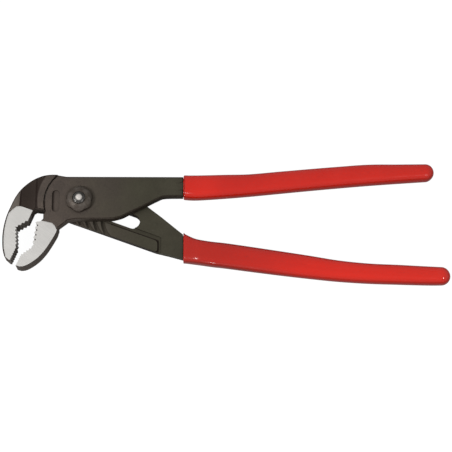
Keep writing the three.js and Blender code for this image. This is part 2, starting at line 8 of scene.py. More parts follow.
import bpy
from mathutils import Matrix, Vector


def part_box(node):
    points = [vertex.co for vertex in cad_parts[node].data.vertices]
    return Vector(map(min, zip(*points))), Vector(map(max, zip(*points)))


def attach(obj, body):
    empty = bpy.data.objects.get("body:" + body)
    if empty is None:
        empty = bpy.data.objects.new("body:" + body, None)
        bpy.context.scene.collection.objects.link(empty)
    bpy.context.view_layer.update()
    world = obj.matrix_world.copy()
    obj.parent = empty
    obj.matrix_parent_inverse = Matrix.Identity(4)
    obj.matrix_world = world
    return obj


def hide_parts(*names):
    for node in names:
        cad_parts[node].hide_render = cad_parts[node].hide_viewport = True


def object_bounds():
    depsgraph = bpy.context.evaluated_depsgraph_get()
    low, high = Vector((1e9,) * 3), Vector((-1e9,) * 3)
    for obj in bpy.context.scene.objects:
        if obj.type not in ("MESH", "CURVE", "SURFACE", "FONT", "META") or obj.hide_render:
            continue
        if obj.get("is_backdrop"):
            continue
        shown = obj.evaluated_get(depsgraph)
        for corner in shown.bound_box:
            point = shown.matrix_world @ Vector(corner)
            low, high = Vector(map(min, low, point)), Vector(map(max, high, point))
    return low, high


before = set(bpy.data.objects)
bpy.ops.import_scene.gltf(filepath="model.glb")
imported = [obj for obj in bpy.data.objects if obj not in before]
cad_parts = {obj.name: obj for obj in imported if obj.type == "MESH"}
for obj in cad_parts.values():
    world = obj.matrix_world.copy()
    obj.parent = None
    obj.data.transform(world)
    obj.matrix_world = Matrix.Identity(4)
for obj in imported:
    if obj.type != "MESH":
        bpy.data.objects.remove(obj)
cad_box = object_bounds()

bl_info = {
    "name": "Water pump pliers finish",
    "version": (1, 0, 0),
    "blender": (4, 5, 0),
    "location": "3D View > Sidebar > Pliers",
    "description": "Finishes a pair of water pump pliers: forged levers, ground jaw flats, dipped grips",
    "category": "Object",
}

MM = 0.001

# Levels of the levers: the strip's back, the plate's top, the middle between them, the strip's raised pad
# and the track beside it. The ground flats and the plate's recess lie a step and a depth below the faces.
STRIP_BACK = 4.3 * MM
PLATE_TOP = 16.6 * MM
LAP_LEVEL = (STRIP_BACK + PLATE_TOP) / 2
PAD_LEVEL = 10.3 * MM
TRACK_LEVEL = 9.1 * MM
GROUND_STEP = 0.5 * MM
RECESS_DEPTH = 1.3 * MM

# How far a face may lie from its level, and how far below the faces the rims, the track's sides, the seats
# and the steps to the ground flats reach
FACE_REACH = 0.1 * MM
FINE_REACH = 0.06 * MM
TRACK_REACH = 0.15 * MM
PAD_REACH = 0.05 * MM
PLATE_RIM = 0.8 * MM
STRIP_RIM = 0.6 * MM
TRACK_DEPTH = 0.2 * MM
SEAT_DEPTHS = (2 * MM, 0.4 * MM)
STEP_DEPTHS = (0.04 * MM, 0.44 * MM)

# The pad's upper corner, its end and its slope, how far its sides reach and how wide its track is
PAD_CORNER = (50.2 * MM, -26.28 * MM)
PAD_END = 52.4 * MM
PAD_SLOPE = math.radians(20.1)
PAD_SIDE = 0.3 * MM
TRACK_WIDTH = (0.6 * MM, 1.2 * MM)

# The peened end of the bolt starts below the nut's top, and its rim darkens over these radii
NUT_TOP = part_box("pivot_nut")[1].z
PEENED_DEPTH = 0.2 * MM
PEENED_RIM = (1.6 * MM, 2.5 * MM)

# Where the levers' parts begin and end. A pair is the start and the end of a gradual change, and the clouds
# spread the one from warm to cool oxide.
COOL_X = (-15 * MM, 45 * MM)
COOL_SPREAD = 60 * MM
JAWS_X = -8 * MM
TEETH_Y = -9 * MM
BACK_X = (-42.5 * MM, -38.5 * MM)
HOLLOW_RADIUS = (27.9 * MM, 28.7 * MM)
HOLLOW_X = (-40.5 * MM, -38.5 * MM)
HOLLOW_END_X = -20 * MM
RECESS_X = (-18.2 * MM, -16.4 * MM)
PLATE_X = -9 * MM
WALLS_X = (0.0, 9 * MM)
STRIP_X = (6 * MM, 12 * MM)
STRIP_END_X = (50 * MM, 56 * MM)
STRIP_EDGE_Y = -16 * MM
PAD_X = 21 * MM
PAD_Y = -36 * MM
RIBS_END_X = 22 * MM
RIBS_Y = -10 * MM
RIB_TOPS_X = (2 * MM, 8 * MM)
RIB_TOPS_END_X = (19 * MM, 22 * MM)

# The sides and the top of the window round the jaws' toothed walls, and the left side and the top of the
# corner that it leaves out
MOUTH_X = (-45.3 * MM, -31 * MM)
MOUTH_Y = -10 * MM
MOUTH_CORNER_X = -40.5 * MM
MOUTH_CORNER_Y = -34 * MM

# Rows of valleys between the jaws' teeth: the first and the last valley, seen with the jaw's steel on the
# right, and how many steps lie between them
INNER_VALLEYS = ((-29.12 * MM, -27.9 * MM), (-27.89 * MM, -17.96 * MM), 3)
OUTER_VALLEYS = ((-42.58 * MM, -18.87 * MM), (-41.8 * MM, -31.53 * MM), 5)

# How far a row goes past its outer valleys, in steps; how deep the painted shade at the teeth's feet lies in
# the jaw and how wide it is; how far from a valley the crests start; and how far out of the jaw they lie,
# give or take their reach
ROW_MARGIN = 0.4
FOOT_DEPTH = 0.25 * MM
FOOT_RADIUS = (0.45 * MM, 0.7 * MM)
CREST_SLIP = (0.4 * MM, 0.6 * MM)
CREST_DEPTH = -0.6 * MM
CREST_REACH = 0.8 * MM

# Grain that runs one way: its turn about Z, and its scale on each axis, which is small along the grain
TOOL_GRAIN = (0.12, (0.05, 1.0, 0.4))
WHEEL_GRAIN = (math.radians(38), (0.04, 1.0, 1.0))
GRIP_GRAIN = (0.05, (0.06, 1.0, 1.0))

# A face is 1 upright where it lies flat and 0 where it is a wall
LEVEL = 0.996
LYING = 0.9
SLOPING = 0.8
STANDING = 0.6
STEEP = 0.5

# How strongly the levers darken, from 0 to 1: dirt in the seats, painted shade on the lower walls, the
# hollow, the steps, the pad's border, the long rims and the teeth's feet, and a painted shadow in the recess.
# The strip's walls have theirs on top of the other walls'.
WALL_SHADE = 0.72
STRIP_WALL_SHADE = 0.22
SEAT_GRIME = 0.12
HOLLOW_SHADE = 0.78
RECESS_SHADOW = 0.75
STEP_SHADE = 0.9
PAD_SHADE = 0.85
RIM_SHADE = 0.8
TOOTH_SHADE = 0.8

# How strongly the levers turn paler: painted light on the outer jaw's back and on the mouth's toothed walls,
# wear and a painted highlight on the rounded edges and the ribs' edges, and wear on the rib tops and in
# scratches; and how much of the edges' share the plate's and the strip's rims lack
BACK_LIGHT = 0.4
EDGE_WEAR_AND_HIGHLIGHT = 0.55
RIB_WEAR_AND_HIGHLIGHT = 0.6
RIB_TOP_WEAR = 0.1
SCRATCH_WEAR = 0.25
MOUTH_LIGHT = 0.8
UNWORN_RIMS = 0.9

# The lower grip lies below this Y, and over these X change the coat's painted shade at the neck, its painted
# light at the mouth and along the far halves, its gloss and its waves
LOWER_GRIP_Y = -20 * MM
NECK_X = (76 * MM, 150 * MM)
GRIP_MOUTH_X = (84 * MM, 98 * MM)
FAR_X = (120 * MM, 175 * MM)
GRIP_ENDS_X = (237 * MM, 240 * MM)

# A station's shares of the grip's length, of its rise and of the half width. Levels are shares of the way
# from the start's level to the lap level, and thicks of the half thickness; fullness squares the section.
# Where a list is short, its last value holds for the stations beyond it.
FRONT_GRIP = {
    "stations": (
        (0, 0, 0.97), (0.053, 0.023, 1.01), (0.165, 0.123, 0.975), (0.26, 0.202, 0.912), (0.379, 0.377, 0.9),
        (0.498, 0.55, 0.887), (0.618, 0.714, 0.875), (0.737, 0.859, 0.856), (0.856, 0.932, 0.77),
        (0.964, 0.995, 0.7),
    ),
    "levels": (0.3, 0.75, 1),
    "thicks": (1.02, 1),
    "fullness": (3.4, 3.0, 2.7),
    "start": (69.8 * MM, 9.75 * MM, 13.6 * MM),
    "length": 170 * MM,
    "rise": 11.2 * MM,
}
REAR_GRIP = {
    "stations": (
        (0, -0.03, 1.225), (0.011, 0.01, 1.156), (0.039, 0.1, 1.044), (0.066, 0.163, 1), (0.11, 0.234, 1),
        (0.158, 0.287, 1.012), (0.247, 0.401, 1.012), (0.359, 0.546, 0.981), (0.47, 0.685, 0.931),
        (0.581, 0.822, 0.85), (0.693, 0.909, 0.8), (0.803, 0.949, 0.781), (0.915, 0.99, 0.744),
        (0.965, 1, 0.715),
    ),
    "levels": (0, 0.12, 0.4, 0.7, 0.92, 1),
    "thicks": (0.78, 0.8, 0.86, 0.93, 0.98, 1),
    "fullness": (4.2, 4.2, 4.0, 3.8, 3.4, 3.0, 2.7),
    "start": (69.8 * MM, -31.95 * MM, 7.3 * MM),
    "length": 178 * MM,
    "rise": -19.8 * MM,
}

# Rings in a grip's rounded end, the share of a step that the last of them stops short, how many rings apart
# the inside's are, steps round the lip, and the least half width and half thickness of a ring
END_RINGS = 14
END_GAP = 0.35
INSIDE_STRIDE = 4
LIP_STEPS = 7
LEAST_HALF = 0.05 * MM

# Facets that meet at more than the crease angle keep their edge; points closer than the weld are one
CREASE = math.radians(48)
WELD = 0.002 * MM

WHITE = (1, 1, 1)

# The floor: half its side, its own grey, and the strength and the share of the white that the camera sees
# on it. The rest of what the camera sees is the grey, which takes the tool's shadow.
FLOOR_REACH = 4.0
FLOOR_GREY = (0.4, 0.4, 0.4)
FLOOR_WHITE = 1.22
FLOOR_SHARE = 0.8

# Each lamp's name, the stage's property with its power, its width and its place
LAMPS = (
    ("key_lamp", "key", 0.16, (-0.34, -0.14, 0.4)),
    ("right_lamp", "right", 0.14, (0.58, -0.4, 0.87)),
    ("front_lamp", "front", 0.09, (-0.15, -0.85, 0.4)),
)

# The width of the camera's sensor, in millimetres
SENSOR_WIDTH = 36


class SteelFinish(bpy.types.PropertyGroup):
    """Colours and grain of the forged levers, the nut and the bolt."""

    oxide: bpy.props.FloatVectorProperty(
        name="Oxide", description="Colour of the phosphated forging", subtype="COLOR", size=3,
        min=0, max=1, default=(0.054, 0.044, 0.038))
    oxide_pale: bpy.props.FloatVectorProperty(
        name="Pale oxide", description="Colour of the paler clouds in the phosphate", subtype="COLOR", size=3,
        min=0, max=1, default=(0.088, 0.070, 0.058))
    cool: bpy.props.FloatVectorProperty(
        name="Cool oxide", description="Colour of the phosphate towards the handles", subtype="COLOR", size=3,
        min=0, max=1, default=(0.037, 0.034, 0.024))
    # Also the colour of the painted shade and shadow on the levers, the teeth's feet and the nut
    shade_and_grime: bpy.props.FloatVectorProperty(
        name="Grime", description="Colour of the dirt held in grooves and hollows", subtype="COLOR", size=3,
        min=0, max=1, default=(0.014, 0.009, 0.007))
    # Also the colour of the painted light on the outer jaw's back and the mouth's walls, and of the edges'
    # painted highlight
    rubbed: bpy.props.FloatVectorProperty(
        name="Rubbed edge", description="Colour where handling has rubbed an edge", subtype="COLOR", size=3,
        min=0, max=1, default=(0.16, 0.145, 0.13))
    ground: bpy.props.FloatVectorProperty(
        name="Ground flat", description="Colour of the ground flats on the jaws", subtype="COLOR", size=3,
        min=0, max=1, default=(0.495, 0.484, 0.465))
    peened: bpy.props.FloatVectorProperty(
        name="Peened end", description="Colour of the bolt's bright steel", subtype="COLOR", size=3,
        min=0, max=1, default=(0.56, 0.53, 0.495))
    cloud_size: bpy.props.FloatProperty(
        name="Cloud size", description="Width of the clouds in the phosphate", unit="LENGTH",
        min=0.002, max=0.1, default=0.018)
    grain_size: bpy.props.FloatProperty(
        name="Grain size", description="Width of the phosphate's crystals and pits", unit="LENGTH",
        min=0.0001, max=0.005, default=0.0007)
    edge_round: bpy.props.FloatProperty(
        name="Edge rounding", description="Radius on the cut edges of the steel", unit="LENGTH",
        min=0.00002, max=0.001, default=0.00024)


class GripCoat(bpy.types.PropertyGroup):
    """Sizes and colours of the dipped grips."""

    red: bpy.props.FloatVectorProperty(
        name="Red", description="Colour of the coat", subtype="COLOR", size=3,
        min=0, max=1, default=(0.58, 0.011, 0.003))
    deep_red: bpy.props.FloatVectorProperty(
        name="Deep red", description="Colour where the coat is thicker", subtype="COLOR", size=3,
        min=0, max=1, default=(0.49, 0.007, 0.001))
    # Painted shade along the grips' sides and at the lower grip's neck, not a thicker coat
    shaded_red: bpy.props.FloatVectorProperty(
        name="Side red", description="Colour along the sides, where the coat has run thickest",
        subtype="COLOR", size=3, min=0, max=1, default=(0.22, 0.008, 0.002))
    # Painted light along the far halves and at the upper grip's mouth
    pale_red: bpy.props.FloatVectorProperty(
        name="Pale red", description="Colour along the far halves and at the upper grip's mouth",
        subtype="COLOR", size=3, min=0, max=1, default=(0.71, 0.014, 0.003))
    half_width: bpy.props.FloatProperty(
        name="Half width", description="Half of the grip's width where its share is one", unit="LENGTH",
        min=0.001, max=0.05, default=0.0083)
    half_thickness: bpy.props.FloatProperty(
        name="Half thickness", description="Half of the grip's thickness where its share is one",
        unit="LENGTH", min=0.001, max=0.05, default=0.0059)
    wall: bpy.props.FloatProperty(
        name="Wall", description="Thickness of the coat", unit="LENGTH",
        min=0.0002, max=0.005, default=0.0014)
    lip: bpy.props.FloatProperty(
        name="Lip", description="Radius of the roll at the mouth", unit="LENGTH",
        min=0.0001, max=0.003, default=0.0007)
    sides: bpy.props.IntProperty(
        name="Sides", description="Number of sides round the grip", min=12, max=128, default=56)
    rows: bpy.props.IntProperty(
        name="Rows", description="Number of rings between two stations", min=1, max=24, default=8)


class StageSetup(bpy.types.PropertyGroup):
    """Camera, surround and lamps."""

    tilt: bpy.props.FloatProperty(
        name="Camera tilt", description="How far the camera leans from straight above", unit="ROTATION",
        min=0, max=1.5, default=math.radians(17.5))
    distance: bpy.props.FloatProperty(
        name="Camera distance", description="From the camera to the middle of the frame", unit="LENGTH",
        min=0.1, max=10, default=1.0)
    focal: bpy.props.FloatProperty(
        name="Focal length", description="Focal length of the camera, in millimetres", min=10, max=500,
        default=118.52)
    aim: bpy.props.FloatVectorProperty(
        name="Aim", description="The place in the middle of the frame", subtype="TRANSLATION", size=3,
        default=(0.0984, -0.01665, 0.01045))
    sky: bpy.props.FloatProperty(
        name="Surround light", description="Strength of the even light from all round", min=0, max=5,
        default=0.42)
    key: bpy.props.FloatProperty(
        name="Key lamp", description="Power of the near lamp on the jaws' side, in watts", min=0, max=500,
        default=2.0)
    right: bpy.props.FloatProperty(
        name="Right lamp", description="Power of the smaller lamp on the handles' side, in watts",
        min=0, max=50, default=2.7)
    front: bpy.props.FloatProperty(
        name="Front lamp", description="Power of the small low lamp in front, in watts", min=0, max=50,
        default=1.4)


class Signal:
    """A socket of a node tree that Python's operators work on."""

    def __init__(self, nodes, socket):
        self.nodes = nodes
        self.socket = socket

    def through(self, operation, first, second=0.0, clamp=False):
        settings = {"operation": operation, "use_clamp": clamp}
        return self.nodes.node("ShaderNodeMath", settings, [first, second])

    def __add__(self, other):
        return self.through("ADD", self, other)

    __radd__ = __add__

    def __sub__(self, other):
        return self.through("SUBTRACT", self, other)

    def __rsub__(self, other):
        return self.through("SUBTRACT", other, self)

    def __mul__(self, other):
        return self.through("MULTIPLY", self, other)

    __rmul__ = __mul__

    def __truediv__(self, other):
        return self.through("DIVIDE", self, other)

    def __pow__(self, other):
        return self.through("POWER", self, other)

    def __abs__(self):
        return self.through("ABSOLUTE", self)

    def __round__(self):
        return self.through("ROUND", self)

    def __gt__(self, other):
        return self.through("GREATER_THAN", self, other)

    def __lt__(self, other):
        return self.through("LESS_THAN", self, other)

    def larger(self, other):
        return self.through("MAXIMUM", self, other)

    def waves(self, length):
        """From -1 to 1 and back again in each length."""
        return self.through("SINE", self * (math.tau / length))

    def clamped(self):
        return self.through("ADD", self, 0.0, clamp=True)

    def within(self, low, high):
        return (self > low) * (self < high)

    def near(self, middle, reach):
        return abs(self - middle) < reach

    def ramp(self, low, high):
        """0 below low and 1 above high, with a straight rise between them."""
        return ((self - low) / (high - low)).clamped()


class Nodes:
    """A node tree, filled through one method that adds a node of any kind."""

    def __init__(self, tree):
        self.tree = tree
        self.tree.nodes.clear()

    def node(self, kind, settings=None, inputs=None, output=None):
        """Adds a node, sets it up, then sets or links its sockets; returns the output that is asked for."""
        made = self.tree.nodes.new(kind)
        for name, value in (settings or {}).items():
            setattr(made, name, value)
        usable = [socket for socket in made.inputs if socket.enabled]
        if isinstance(inputs, dict):
            pairs = [(next(s for s in usable if s.name == name), value) for name, value in inputs.items()]
        else:
            pairs = zip(usable, inputs or [])
        for socket, value in pairs:
            if isinstance(value, Signal):
                self.tree.links.new(value.socket, socket)
            elif socket.type == "RGBA" and len(value) == 3:
                socket.default_value = (*value, 1.0)
            else:
                socket.default_value = value
        outputs = [socket for socket in made.outputs if socket.enabled]
        if not outputs:
            return None
        found = outputs[0] if output is None else next(s for s in outputs if s.name == output)
        return Signal(self, found)


class Finish(Nodes):
    """One material, and the places and leanings of its surface that its pattern goes by."""

    def __init__(self, name):
        self.material = bpy.data.materials.new(name)
        self.material.use_nodes = True
        super().__init__(self.material.node_tree)

    @cached_property
    def place(self):
        return self.node("ShaderNodeTexCoord", output="Object")

    @cached_property
    def x(self):
        return self.part(self.place, "X")

    @cached_property
    def y(self):
        return self.part(self.place, "Y")

    @cached_property
    def z(self):
        return self.part(self.place, "Z")

    @cached_property
    def out(self):
        """Distance from the pivot axis."""
        return (self.x ** 2.0 + self.y ** 2.0) ** 0.5

    @cached_property
    def upright(self):
        """1 where the surface lies flat, 0 where it is a wall."""
        return abs(self.facing("Z"))

    def facing(self, axis, normal="Normal"):
        """One part of the way that the surface faces; True Normal is the facet's own."""
        return self.part(self.node("ShaderNodeNewGeometry", output=normal), axis)

    def part(self, vector, axis):
        return self.node("ShaderNodeSeparateXYZ", None, [vector], axis)

    def stretched(self, turn, scale):
        """Places turned about Z and then scaled, for grain that runs one way."""
        turned = self.node("ShaderNodeMapping", None, {"Vector": self.place, "Rotation": (0, 0, turn)})
        return self.node("ShaderNodeVectorMath", {"operation": "MULTIPLY"}, [turned, scale])

    def noise(self, size, detail=3.0, roughness=0.5, places=None):
        """Soft noise from 0 to 1 whose lumps are about size across."""
        vector = self.place if places is None else places
        inputs = {"Vector": vector, "Scale": 1.0 / size, "Detail": detail, "Roughness": roughness}
        return self.node("ShaderNodeTexNoise", {"noise_dimensions": "3D"}, inputs)

    def cells(self, size):
        """Distance from the middle of the nearest of many cells, about size across."""
        settings = {"feature": "F1", "voronoi_dimensions": "3D"}
        return self.node("ShaderNodeTexVoronoi", settings, {"Vector": self.place, "Scale": 1.0 / size})

    def mix(self, amount, low, high):
        settings = {"data_type": "RGBA", "blend_type": "MIX", "clamp_factor": True}
        return self.node("ShaderNodeMix", settings, {"Factor": amount, "A": low, "B": high})

    def bump(self, height, depth):
        return self.node("ShaderNodeBump", None, {"Height": height, "Distance": depth, "Strength": 1.0})

    def shown(self, shader):
        self.node("ShaderNodeOutputMaterial", None, {"Surface": shader})
        return self.material

    def surface(self, **inputs):
        """The shader itself; a name's underscores stand for the spaces in its socket's name."""
        named = {name.replace("_", " "): value for name, value in inputs.items()}
        return self.shown(self.node("ShaderNodeBsdfPrincipled", None, named))


class LeverFinish(Finish):
    """The levers' finish, which also knows on which of their parts a place is."""

    @cached_property
    def sunk(self):
        """How far a place is below the nearer outer face of the two lapped levers."""
        return (PLATE_TOP - STRIP_BACK) / 2 - abs(self.z - LAP_LEVEL)

    @cached_property
    def facet_upright(self):
        """As upright, but of the facet itself, before any smoothing."""
        return abs(self.facing("Z", "True Normal"))

    @cached_property
    def plate(self):
        """The top of the cover plate, right of the jaws."""
        return (self.z > PLATE_TOP - PLATE_RIM) * (self.x > PLATE_X)

    @cached_property
    def strip(self):
        """The slotted strip under the plate, as far as its pad goes."""
        return (self.z < PAD_LEVEL + PAD_REACH) * self.x.ramp(*STRIP_X) * (1 - self.x.ramp(*STRIP_END_X))

    @cached_property
    def rounded(self):
        """The rounded edges between a face and a wall."""
        return self.upright.ramp(0.12, 0.5) * (1 - self.upright.ramp(0.72, 0.985))


def darker(colour, share):
    return tuple(share * value for value in colour)


def phosphate_colour(finish, steel):
    """Clouded, finely speckled phosphate, and the noises that its relief is made from."""
    cloud = finish.noise(steel.cloud_size, 4.0, 0.6)
    grain = finish.noise(steel.grain_size, 2.0, 0.6)
    speck = finish.cells(steel.grain_size * 2.4)
    tone = cloud.ramp(0.34, 0.68) * 0.62 + grain.ramp(0.3, 0.75) * 0.3 + speck.ramp(0.25, 0.6) * 0.12
    warm = finish.mix(tone, steel.oxide, steel.oxide_pale)
    cool = finish.mix(tone, steel.cool, darker(steel.cool, 1.5))
    along = (finish.x + (cloud - 0.5) * COOL_SPREAD).ramp(*COOL_X)
    return finish.mix(along, warm, cool), cloud, grain, speck


def pad_border(finish):
    """Painted shade on the pad's upper side and its end, and on the track that runs beside them."""
    above = ((finish.y - PAD_CORNER[1]) * math.cos(PAD_SLOPE)
             + (finish.x - PAD_CORNER[0]) * math.sin(PAD_SLOPE))
    beside = above.larger(finish.x - PAD_END)
    sides = (finish.upright < STANDING) * (beside < PAD_SIDE)
    track = (finish.upright > SLOPING) * finish.z.near(TRACK_LEVEL, TRACK_REACH)
    track = track * (1 - beside.ramp(*TRACK_WIDTH))
    lying = finish.z.within(TRACK_LEVEL - TRACK_DEPTH, PAD_LEVEL - PAD_REACH)
    return (sides + track) * lying * (finish.x > PAD_X) * (finish.y > PAD_Y)


def lever_shade_and_grime(finish):
    """Dirt in the seats' grooves; painted shade in the hollow behind the outer jaw, on the steps to the
    ground flats, on the pad's border, on the lower walls and on the long rims; and a painted shadow in the
    recess in the plate."""
    # Painted shade on the walls that face towards -Y, more on the strip's
    walls = (finish.upright < STANDING) * (finish.facing("Y") < -0.3) * finish.x.ramp(*WALLS_X)
    walls = walls * (1 - finish.x.ramp(*STRIP_END_X) * (finish.z < LAP_LEVEL))
    low, high = SEAT_DEPTHS
    seats = finish.z.within(PAD_LEVEL - low, PAD_LEVEL - high) * (finish.upright > SLOPING)
    # Painted shade in the hollow behind the outer jaw
    hollow = (finish.out.ramp(*HOLLOW_RADIUS) * finish.x.ramp(*HOLLOW_X) * (finish.x < HOLLOW_END_X)
              * (finish.y > TEETH_Y) * (finish.upright > LYING) * (finish.sunk > -FACE_REACH))
    # Painted shadow on the left part of the plate's recess
    recess = finish.z.near(PLATE_TOP - RECESS_DEPTH, FACE_REACH) * (finish.upright > LYING)
    recess = recess * (1 - finish.x.ramp(*RECESS_X))
    # Painted shade on the steps down to the ground flats
    step = finish.sunk.within(*STEP_DEPTHS) * (finish.upright < 0.97) * (finish.x < JAWS_X)
    # Painted shade along the plate's and the strip's long rims
    rims = (abs(finish.facing("Y", "True Normal")) > 0.2) * (finish.facet_upright > SLOPING)
    rims = rims * (finish.plate + finish.strip * (finish.z > PAD_LEVEL - STRIP_RIM))
    return (walls * (finish.strip * STRIP_WALL_SHADE + WALL_SHADE) + seats * SEAT_GRIME
            + hollow * HOLLOW_SHADE + recess * RECESS_SHADOW + step * STEP_SHADE
            + pad_border(finish) * PAD_SHADE + rims * RIM_SHADE)


def worn_and_highlit_colour(finish, steel, colour):
    """Rounded edges that hands and the bench have rubbed, lighter also as a painted highlight; the ribs'
    edges, worn bright and with a painted highlight, and their tops; and fine scratches along the tool; also
    returns how rubbed and highlit the edges are."""
    scuff = finish.noise(6 * MM, 4.0, 0.65)
    unworn = (finish.plate + finish.strip * (finish.y < STRIP_EDGE_Y)) * UNWORN_RIMS
    # Wear, and a painted highlight, on the rounded edges
    rub = finish.rounded * scuff.ramp(0.42, 0.72) * (1 - unworn)
    colour = finish.mix(rub * EDGE_WEAR_AND_HIGHLIGHT, colour, steel.rubbed)
    # Wear, and a painted highlight, on the ribs' rounded edges
    ribs = finish.x.within(0.0, RIBS_END_X) * (finish.y < RIBS_Y) * (finish.z < PAD_LEVEL)
    colour = finish.mix(finish.rounded * ribs * RIB_WEAR_AND_HIGHLIGHT, colour, steel.ground)
    tops = finish.z.near(PAD_LEVEL, FINE_REACH) * (finish.upright > LYING)
    tops = tops * finish.x.ramp(*RIB_TOPS_X) * (1 - finish.x.ramp(*RIB_TOPS_END_X))
    colour = finish.mix(tops * RIB_TOP_WEAR, colour, steel.rubbed)
    drawn = finish.stretched(*TOOL_GRAIN)
    scratch = finish.noise(0.5 * MM, 2.0, 0.7, drawn).ramp(0.69, 0.76) * scuff.ramp(0.45, 0.6)
    return finish.mix(scratch * SCRATCH_WEAR, colour, steel.rubbed), rub


def valley_places(finish, row):
    """How far a place is from the nearest of a row's valleys, along the row and into the jaw, and whether it
    is beside the row."""
    start, end, gaps = row
    run = Vector(end) - Vector(start)
    along, inward = run.normalized(), Vector((run.y, -run.x)).normalized()
    step = run.length / gaps
    east, north = finish.x - start[0], finish.y - start[1]
    count = (east * along.x + north * along.y) / step
    depth = east * inward.x + north * inward.y
    slip = abs(count - round(count)) * step
    return slip, depth, count.within(-ROW_MARGIN, gaps + ROW_MARGIN)


def teeth_shade_and_wear(finish):
    """Painted shade at the feet of the inner jaw's teeth, and the crests of the outer jaw's middle teeth,
    worn bright.
    """
    slip, depth, beside = valley_places(finish, INNER_VALLEYS)
    away = (slip ** 2.0 + (depth - FOOT_DEPTH) ** 2.0) ** 0.5
    # Painted shade at each foot of the inner jaw's teeth
    feet = (1 - away.ramp(*FOOT_RADIUS)) * beside
    slip, depth, beside = valley_places(finish, OUTER_VALLEYS)
    crests = slip.ramp(*CREST_SLIP) * beside * depth.near(CREST_DEPTH, CREST_REACH)
    return feet, crests * (finish.upright < STEEP)


def mouth_walls(finish):
    """The toothed walls round the jaws' mouth, without the inner jaw's lower end."""
    beside = ((finish.y > MOUTH_CORNER_Y) + (finish.x < MOUTH_CORNER_X)).clamped()
    return beside * (finish.y < MOUTH_Y) * finish.x.within(*MOUTH_X) * (finish.upright < STEEP)


def lever_finish(steel):
    """Phosphated forging with bright ground flats on both sides of the jaws."""
    finish = LeverFinish("phosphated_forging")
    colour, cloud, grain, speck = phosphate_colour(finish, steel)
    # Painted light on the back of the outer jaw
    back = (1 - finish.x.ramp(*BACK_X)) * (finish.y > TEETH_Y) * (finish.upright > LYING)
    colour = finish.mix(back * BACK_LIGHT, colour, steel.rubbed)
    # Dirt in the seats, and painted shade and shadow elsewhere
    colour = finish.mix(lever_shade_and_grime(finish), colour, steel.shade_and_grime)
    colour, rub = worn_and_highlit_colour(finish, steel, colour)

    # Ground flats, with the wheel's marks slanting across the jaws; painted shade at the teeth's feet and
    # painted light on the mouth's toothed walls
    feet, crests = teeth_shade_and_wear(finish)
    flat = finish.sunk.near(GROUND_STEP, FINE_REACH) * (finish.facet_upright > LEVEL) * (finish.x < JAWS_X)
    flat = (flat + crests).clamped() * (1 - feet)
    # Painted shade at the teeth's feet
    colour = finish.mix(feet * TOOTH_SHADE, colour, steel.shade_and_grime)
    # Painted light on the mouth's toothed walls
    colour = finish.mix(mouth_walls(finish) * MOUTH_LIGHT, colour, steel.rubbed)
    marks = finish.noise(0.32 * MM, 3.0, 0.6, finish.stretched(*WHEEL_GRAIN))
    dulled = finish.noise(9 * MM, 3.0, 0.5)
    tone = marks.ramp(0.3, 0.72) * 0.5 + dulled.ramp(0.35, 0.7) * 0.16
    colour = finish.mix(flat, colour, finish.mix(tone, steel.ground, darker(steel.ground, 0.72)))

    dark_roughness = 0.4 + grain * 0.12 + cloud * 0.08 - rub * 0.1
    bright_roughness = 0.46 + marks * 0.14
    relief = (grain * 0.5 + (1 - speck) * 0.35 + cloud * 1.2) * (1 - flat) + marks * 0.35 * flat
    return finish.surface(
        Base_Color=colour,
        Metallic=0.3 + flat * 0.4 - crests * 0.6,
        Roughness=dark_roughness * (1 - flat) + bright_roughness * flat,
        Normal=finish.bump(relief, depth=0.05 * MM),
        Specular_IOR_Level=0.06,
    )


def nut_finish(steel):
    """Phosphated nut, its cone turned and its flats forged, with painted shade on its lower and right sides.
    """
    finish = Finish("phosphated_nut")
    colour, cloud, grain, speck = phosphate_colour(finish, steel)
    # Painted shade on the sides that face down and to the right
    turned = finish.facing("Y") - finish.facing("X") * 0.6
    shade = (1 - finish.upright.ramp(0.15, 0.45)) * (turned < -0.2)
    colour = finish.mix(0.2 + shade * 0.7, colour, steel.shade_and_grime)
    rub = finish.upright.ramp(0.5, 0.8) * (1 - finish.upright.ramp(0.93, 0.995))
    rub = rub * finish.noise(3 * MM).ramp(0.4, 0.7)
    colour = finish.mix(rub * 0.35, colour, steel.rubbed)
    rings = finish.out.waves(0.45 * MM) * finish.upright.ramp(0.2, 0.5)
    relief = grain * 0.5 + (1 - speck) * 0.3 + rings * 0.16
    return finish.surface(
        Base_Color=colour,
        Metallic=0.3,
        Roughness=0.36 + grain * 0.14 + cloud * 0.06,
        Normal=finish.bump(relief, depth=0.05 * MM),
        Specular_IOR_Level=0.06,
    )


def bolt_finish(steel):
    """Bright steel, turned on the shank and hammered at the peened end, whose rim is dark."""
    finish = Finish("bright_bolt_steel")
    peened = finish.z > NUT_TOP - PEENED_DEPTH
    stain = finish.noise(2.5 * MM, 4.0, 0.6)
    rim = finish.out.ramp(*PEENED_RIM)
    tone = stain.ramp(0.4, 0.75) * 0.35 * (1 - peened) + peened * (rim * 0.97 + stain.ramp(0.5, 0.75) * 0.35)
    blow = finish.cells(1.5 * MM)
    rings = finish.z.waves(0.3 * MM)
    relief = blow * 2.2 * peened + rings * 0.1 * (1 - peened) + stain * 0.4
    return finish.surface(
        Base_Color=finish.mix(tone, steel.peened, darker(steel.peened, 0.06)),
        Metallic=0.9,
        Roughness=0.3 + stain * 0.16,
        Normal=finish.bump(relief, depth=0.09 * MM),
    )


